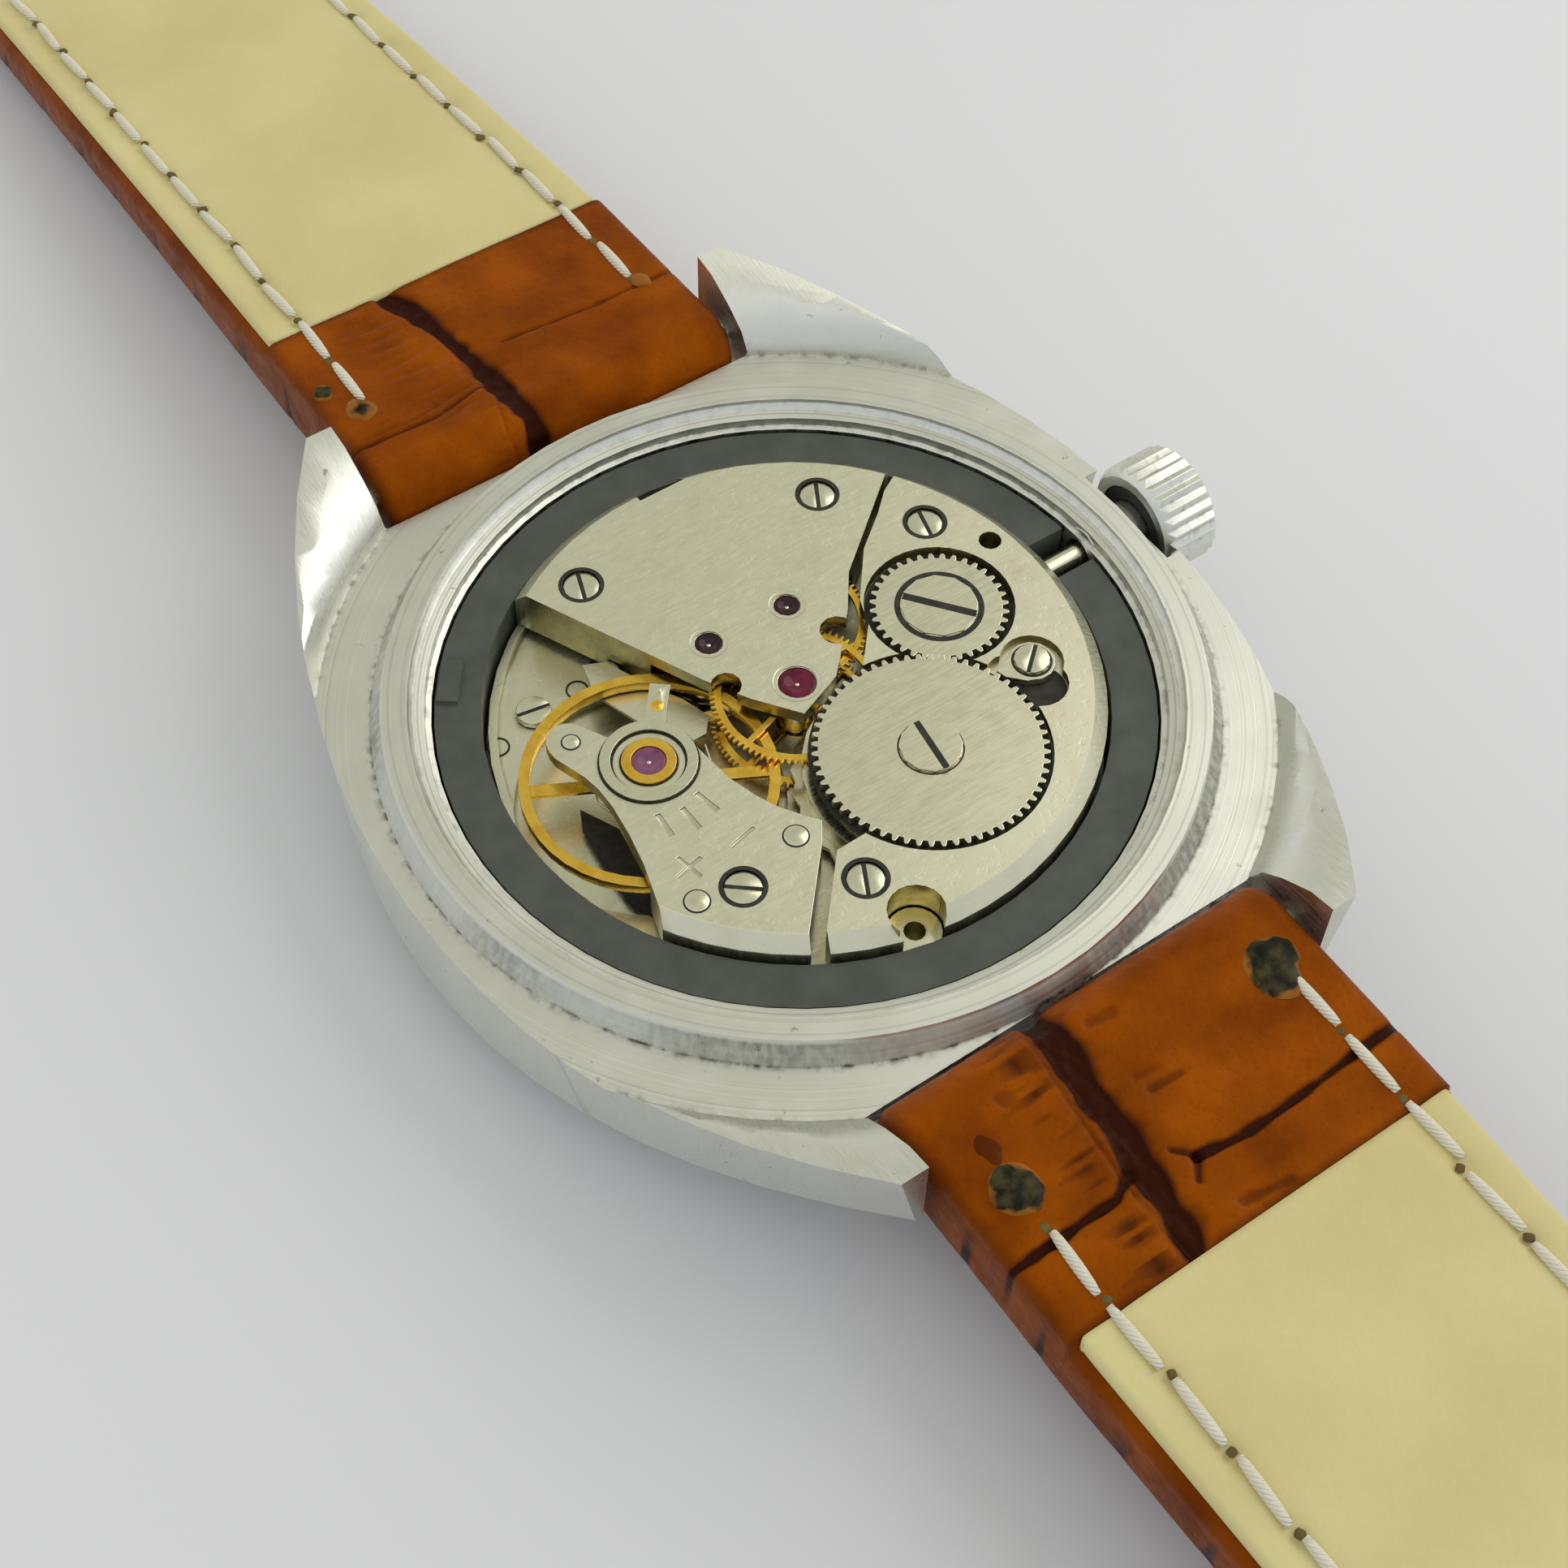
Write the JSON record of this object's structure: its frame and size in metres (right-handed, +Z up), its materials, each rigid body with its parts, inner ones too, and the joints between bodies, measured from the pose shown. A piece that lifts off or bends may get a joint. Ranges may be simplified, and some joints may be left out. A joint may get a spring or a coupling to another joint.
{
  "type": "wristwatch",
  "caption": "Hand-wound wristwatch lying dial down with its back off: steel case, movement with turning wheels, pull-out crown, hands, crystal and a two-part leather strap with a pin buckle.",
  "frame": {"origin": "centre of the crystal's flat face, on the axis of the hands", "axes": "+X out through the crown (3 o'clock), +Y towards 6 o'clock along the strap, +Z up from the dial side to the case-back side"},
  "size_m": [0.0395, 0.2333, 0.0094],
  "materials": {
    "case_steel": "worn brushed stainless steel",
    "crystal": "clear domed crystal",
    "grey_plastic": "matte moulded plastic",
    "dial_white": "satin painted dial",
    "nickel": "nickel-plated, finely pitted",
    "bright_steel": "polished steel",
    "gilt": "polished gilt brass",
    "ruby": "polished synthetic ruby",
    "tan_leather": "cognac leather with a crocodile emboss",
    "cream_lining": "smooth cream lining leather",
    "rubber": "black gasket rubber"
  },
  "bodies": {
    "case": {"case_body": "case_steel", "crystal": "crystal", "movement_ring": "grey_plastic", "main_plate": "nickel", "train_bridge": "nickel", "barrel_bridge": "nickel", "balance_cock": "nickel", "pallet_bridge": "nickel", "dial": "dial_white", "balance_setting": "gilt", "balance_jewel": "ruby", "centre_jewel": "ruby", "third_jewel": "ruby", "escape_jewel": "ruby", "train_screw_1": "bright_steel", "train_screw_2": "bright_steel", "barrel_screw_1": "bright_steel", "barrel_screw_2": "bright_steel", "cock_screw": "bright_steel", "plate_screw": "bright_steel", "click_screw": "bright_steel", "crown_wheel_screw": "bright_steel", "spring_bar_6": "bright_steel", "spring_bar_12": "bright_steel"},
    "crown_slider": {"crown_gasket": "rubber"},
    "crown": {"crown": "case_steel", "stem": "bright_steel"},
    "clutch": {"clutch_wheel": "bright_steel"},
    "winding_pinion": {"winding_pinion": "bright_steel"},
    "setting_lever": {"setting_lever": "bright_steel"},
    "crown_wheel": {"crown_wheel": "bright_steel"},
    "ratchet": {"ratchet_wheel": "bright_steel", "ratchet_screw": "bright_steel", "barrel_arbor": "bright_steel"},
    "click": {"click": "bright_steel"},
    "barrel": {"barrel": "bright_steel", "mainspring": "bright_steel"},
    "centre": {"centre_wheel": "gilt", "cannon_pinion": "bright_steel", "minute_hand": "bright_steel"},
    "minute_wheel": {"minute_wheel": "gilt"},
    "hour_wheel": {"hour_wheel": "gilt", "hour_hand": "bright_steel"},
    "third": {"third_wheel": "gilt"},
    "fourth": {"fourth_wheel": "gilt", "seconds_hand": "bright_steel"},
    "escape": {"escape_wheel": "bright_steel"},
    "pallet_fork": {"pallet_fork": "bright_steel"},
    "balance": {"balance_wheel": "gilt", "hairspring": "bright_steel"},
    "regulator": {"regulator": "bright_steel"},
    "strap_6": {"strap_tail": "tan_leather", "strap_tail_lining": "cream_lining"},
    "strap_12": {"strap_buckle_half": "tan_leather", "strap_buckle_lining": "cream_lining", "fixed_keeper": "tan_leather", "buckle_bar": "bright_steel"},
    "free_keeper": {"free_keeper": "tan_leather"},
    "buckle": {"buckle_frame": "case_steel"},
    "tongue": {"buckle_tongue": "case_steel"}
  },
  "joints": [
    {"name": "crown_pull", "type": "slide", "parent": "case", "child": "crown_slider", "axis": [1, 0, 0], "range_m": [0, 0.0008]},
    {"name": "crown_turn", "type": "hinge", "parent": "crown_slider", "child": "crown", "pos_m": [0.018, 0, 0.00565], "axis": [1, 0, 0], "continuous": true},
    {"name": "clutch_slide", "type": "slide", "parent": "crown", "child": "clutch", "axis": [1, 0, 0], "range_m": [-0.0012, 0]},
    {"name": "winding_pinion_turn", "type": "hinge", "parent": "case", "child": "winding_pinion", "pos_m": [0.01, 0, 0.00565], "axis": [1, 0, 0], "continuous": true},
    {"name": "setting_lever_turn", "type": "hinge", "parent": "case", "child": "setting_lever", "pos_m": [0.01125, 0.00164, 0.005], "axis": [0, 0, 1], "range_deg": [0, 17]},
    {"name": "crown_wheel_turn", "type": "hinge", "parent": "case", "child": "crown_wheel", "pos_m": [0.0073, 0, 0.0071], "axis": [0, 0, 1], "continuous": true},
    {"name": "ratchet_turn", "type": "hinge", "parent": "case", "child": "ratchet", "pos_m": [0.0025, -0.0058, 0.0072], "axis": [0, 0, 1], "continuous": true},
    {"name": "click_swing", "type": "hinge", "parent": "case", "child": "click", "pos_m": [0.00865, -0.00455, 0.0072], "axis": [0, 0, -1], "range_deg": [0, 12]},
    {"name": "fourth_turn", "type": "hinge", "parent": "case", "child": "fourth", "pos_m": [0, 0, 0.0065], "axis": [0, 0, 1], "continuous": true},
    {"name": "barrel_turn", "type": "hinge", "parent": "case", "child": "barrel", "pos_m": [0.0025, -0.0058, 0.0057], "axis": [0, 0, 1], "continuous": true},
    {"name": "centre_turn", "type": "hinge", "parent": "case", "child": "centre", "pos_m": [0, 0, 0.005], "axis": [0, 0, 1], "continuous": true},
    {"name": "minute_wheel_turn", "type": "hinge", "parent": "case", "child": "minute_wheel", "pos_m": [0.0031, 0, 0.004], "axis": [0, 0, 1], "continuous": true},
    {"name": "hour_turn", "type": "hinge", "parent": "case", "child": "hour_wheel", "pos_m": [0, 0, 0.003], "axis": [0, 0, 1], "continuous": true},
    {"name": "third_turn", "type": "hinge", "parent": "case", "child": "third", "pos_m": [0.002, 0.0036, 0.006], "axis": [0, 0, 1], "continuous": true},
    {"name": "escape_turn", "type": "hinge", "parent": "case", "child": "escape", "pos_m": [-0.00185, 0.00375, 0.0054], "axis": [0, 0, 1], "continuous": true},
    {"name": "fork_rock", "type": "hinge", "parent": "case", "child": "pallet_fork", "pos_m": [-0.00408, 0.0022, 0.0055], "axis": [0, 0, 1], "range_deg": [-5, 5]},
    {"name": "balance_swing", "type": "hinge", "parent": "case", "child": "balance", "pos_m": [-0.00725, 0, 0.006], "axis": [0, 0, 1], "range_deg": [-135, 135], "stiffness_Nm_per_rad": 0.0000003},
    {"name": "regulator_turn", "type": "hinge", "parent": "case", "child": "regulator", "pos_m": [-0.00725, 0, 0.0075], "axis": [0, 0, 1], "range_deg": [-20, 20]},
    {"name": "strap_6_fold", "type": "hinge", "parent": "case", "child": "strap_6", "pos_m": [0, 0.0196, 0.0061], "axis": [1, 0, 0], "range_deg": [0, 90]},
    {"name": "strap_12_fold", "type": "hinge", "parent": "case", "child": "strap_12", "pos_m": [0, -0.0196, 0.0061], "axis": [-1, 0, 0], "range_deg": [0, 90]},
    {"name": "keeper_slide", "type": "slide", "parent": "strap_12", "child": "free_keeper", "axis": [0, 1, 0], "range_m": [-0.005, 0.008]},
    {"name": "buckle_turn", "type": "hinge", "parent": "strap_12", "child": "buckle", "pos_m": [0, -0.089, 0.0058], "axis": [-1, 0, 0], "range_deg": [0, 60]},
    {"name": "tongue_turn", "type": "hinge", "parent": "strap_12", "child": "tongue", "pos_m": [0, -0.089, 0.0058], "axis": [1, 0, 0], "range_deg": [0, 80]}
  ],
  "couplings": [
    {"joint": "winding_pinion_turn", "follows": "crown_turn", "ratio": 1},
    {"joint": "crown_wheel_turn", "follows": "crown_turn", "ratio": -0.5},
    {"joint": "ratchet_turn", "follows": "crown_turn", "ratio": 0.3},
    {"joint": "clutch_slide", "follows": "crown_pull", "ratio": -1.5},
    {"joint": "setting_lever_turn", "follows": "crown_pull", "rad_per_m": 350},
    {"joint": "third_turn", "follows": "fourth_turn", "ratio": -0.13333},
    {"joint": "centre_turn", "follows": "fourth_turn", "ratio": 0.016667},
    {"joint": "minute_wheel_turn", "follows": "fourth_turn", "ratio": -0.0055556},
    {"joint": "hour_turn", "follows": "fourth_turn", "ratio": 0.0013889},
    {"joint": "barrel_turn", "follows": "fourth_turn", "ratio": -0.0020833},
    {"joint": "escape_turn", "follows": "fourth_turn", "ratio": -10}
  ]
}
